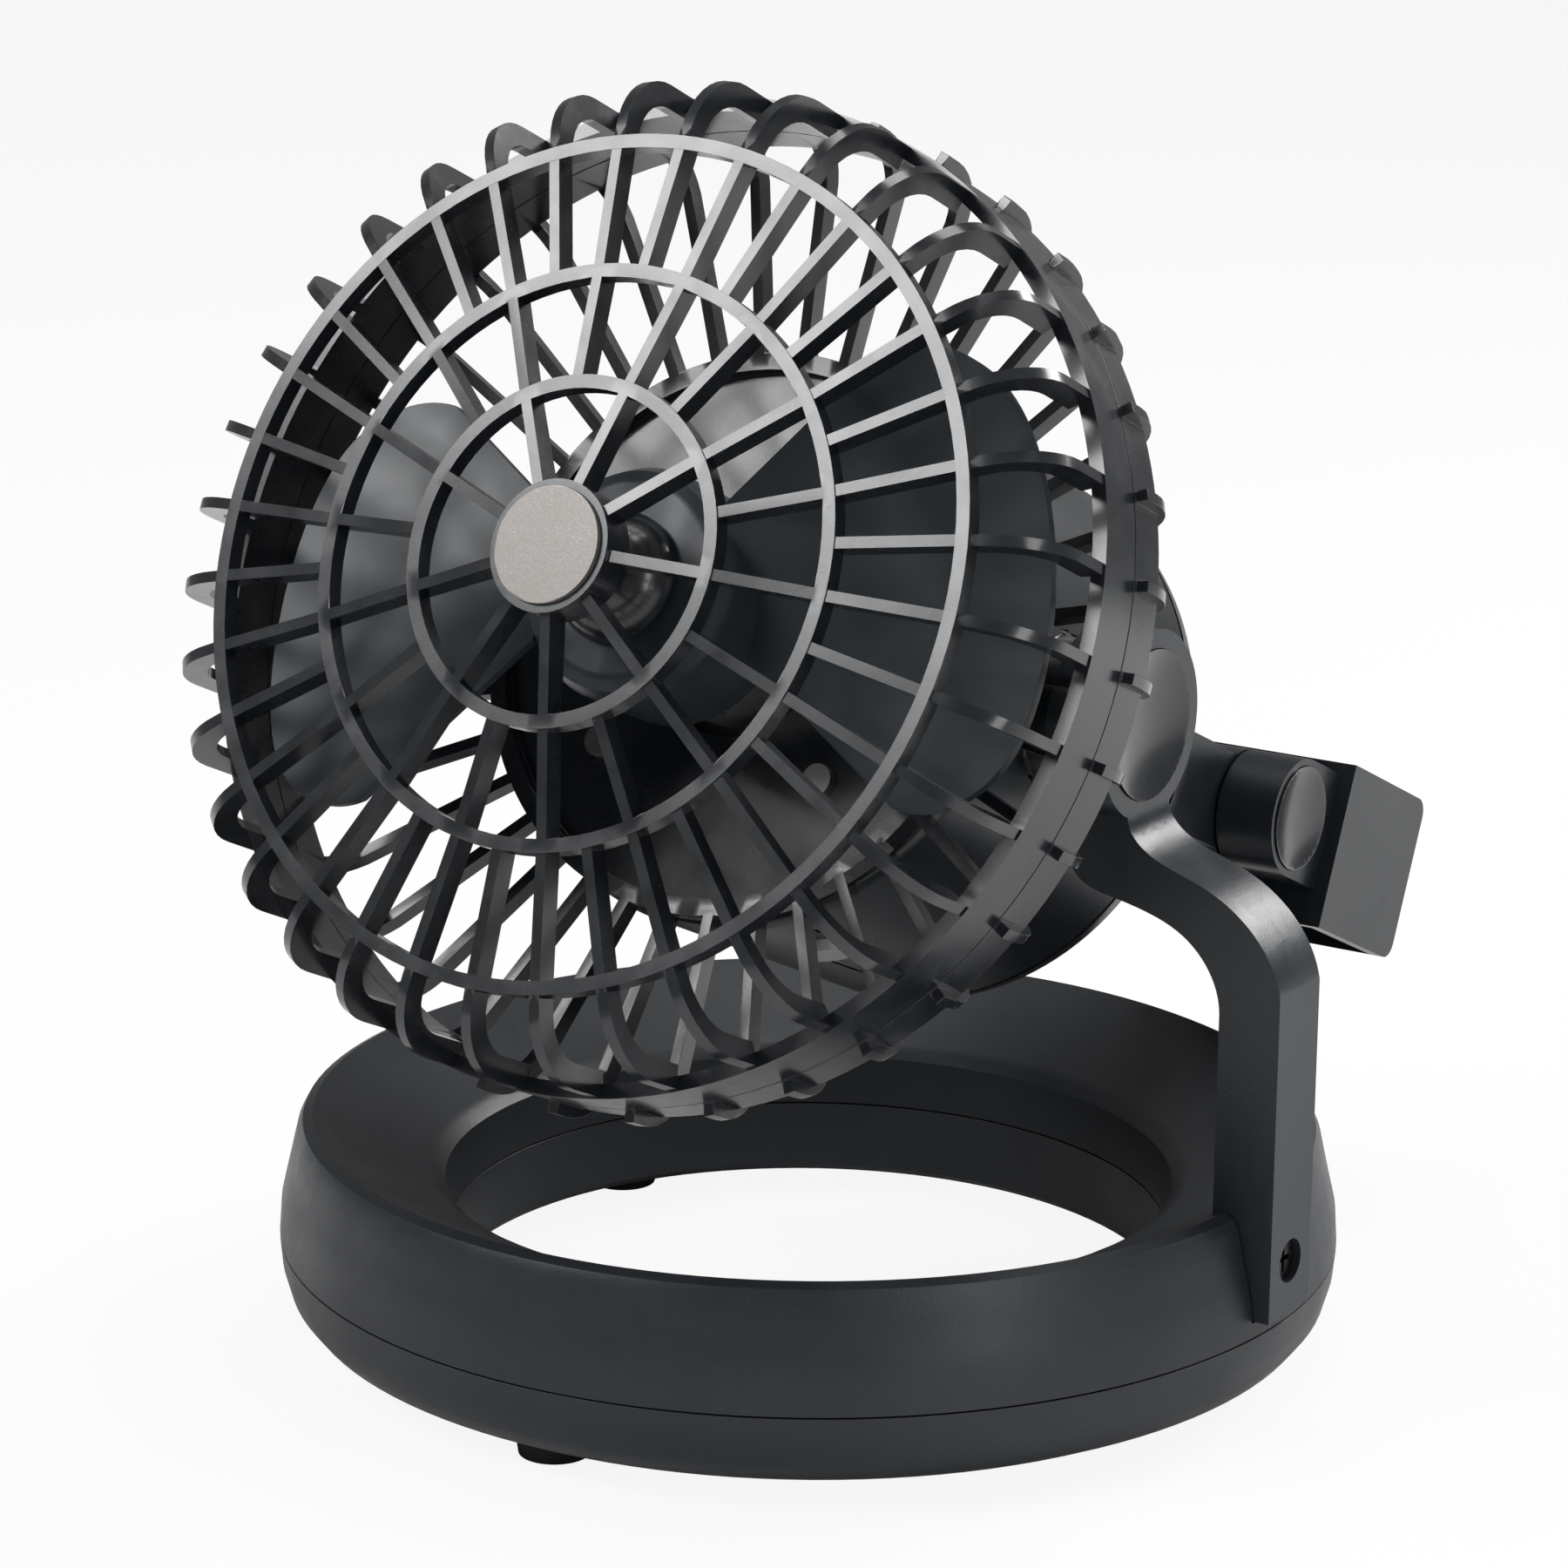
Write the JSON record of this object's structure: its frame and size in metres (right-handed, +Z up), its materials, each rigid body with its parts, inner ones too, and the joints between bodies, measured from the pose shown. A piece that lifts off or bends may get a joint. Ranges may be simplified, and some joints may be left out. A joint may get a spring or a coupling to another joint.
{
  "type": "portable camping fan",
  "caption": "Battery camping fan with a domed wire-style guard, tilting on a curved side arm above a ring-shaped lamp base with a hanging clip.",
  "frame": {"origin": "middle of the whole outline, on the surface it stands on; the ring base's axis is 1.2 mm towards -X and 10.05 mm towards -Y from it", "axes": "+Z up, -Y towards the side the fan blows, +X towards the arm"},
  "size_m": [0.1824, 0.2154, 0.2146],
  "materials": {
    "shell_black": "satin",
    "guard_black": "semi-gloss",
    "blade_plastic": "satin",
    "disc_grey": "satin",
    "steel": "plated",
    "soft_rubber": "matte",
    "lens_clear": "frosted",
    "lamp_white": "clear",
    "circuit_green": "solder mask",
    "cell_wrap": "plain wrap",
    "switch_grey": "satin"
  },
  "bodies": {
    "base": {"base_upper_shell": "shell_black", "base_lower_shell": "shell_black", "lamp_lens": "lens_clear", "rubber_feet": "soft_rubber", "lamp_board": "circuit_green", "lamp_leds": "lamp_white", "arm": "shell_black", "arm_foot_screw": "steel", "pivot_cap": "guard_black"},
    "head": {"drum_shell": "shell_black", "switch_block": "guard_black", "battery_lid": "shell_black", "pivot_pin": "steel", "friction_washer": "soft_rubber", "pivot_keeper": "steel", "battery_cells": "cell_wrap", "contact_springs": "steel", "contact_board": "circuit_green", "rear_contact_plate": "steel", "motor": "steel", "front_guard": "guard_black", "guard_disc": "disc_grey", "rear_guard": "guard_black", "guard_screws": "steel"},
    "fan": {"motor_shaft": "steel", "impeller": "blade_plastic", "spinner": "guard_black"},
    "hanger": {"hanger_hook": "shell_black", "hanger_pin": "steel", "hanger_cap": "guard_black"},
    "slider": {"fan_switch_slider": "switch_grey"},
    "lamp_key": {"lamp_button": "switch_grey"}
  },
  "joints": [
    {"name": "head_tilt", "type": "hinge", "parent": "base", "child": "head", "pos_m": [0.0576, -0.01005, 0.114], "axis": [-1, 0, 0], "range_deg": [-22, 8]},
    {"name": "fan_spin", "type": "hinge", "parent": "head", "child": "fan", "pos_m": [-0.0012, -0.05544, 0.13497], "axis": [0, -0.9078, 0.4195], "continuous": true},
    {"name": "hanger_swing", "type": "hinge", "parent": "head", "child": "hanger", "pos_m": [0.0338, 0.06439, 0.0796], "axis": [1, 0, 0], "range_deg": [-12, 80]},
    {"name": "fan_switch", "type": "slide", "parent": "head", "child": "slider", "axis": [0, -0.9078, 0.4195], "range_m": [0, 0.006]},
    {"name": "lamp_press", "type": "slide", "parent": "head", "child": "lamp_key", "axis": [-0.342, 0.3942, 0.853], "range_m": [0, 0.001], "stiffness_N_per_m": 900, "springref_m": -0.0006}
  ]
}
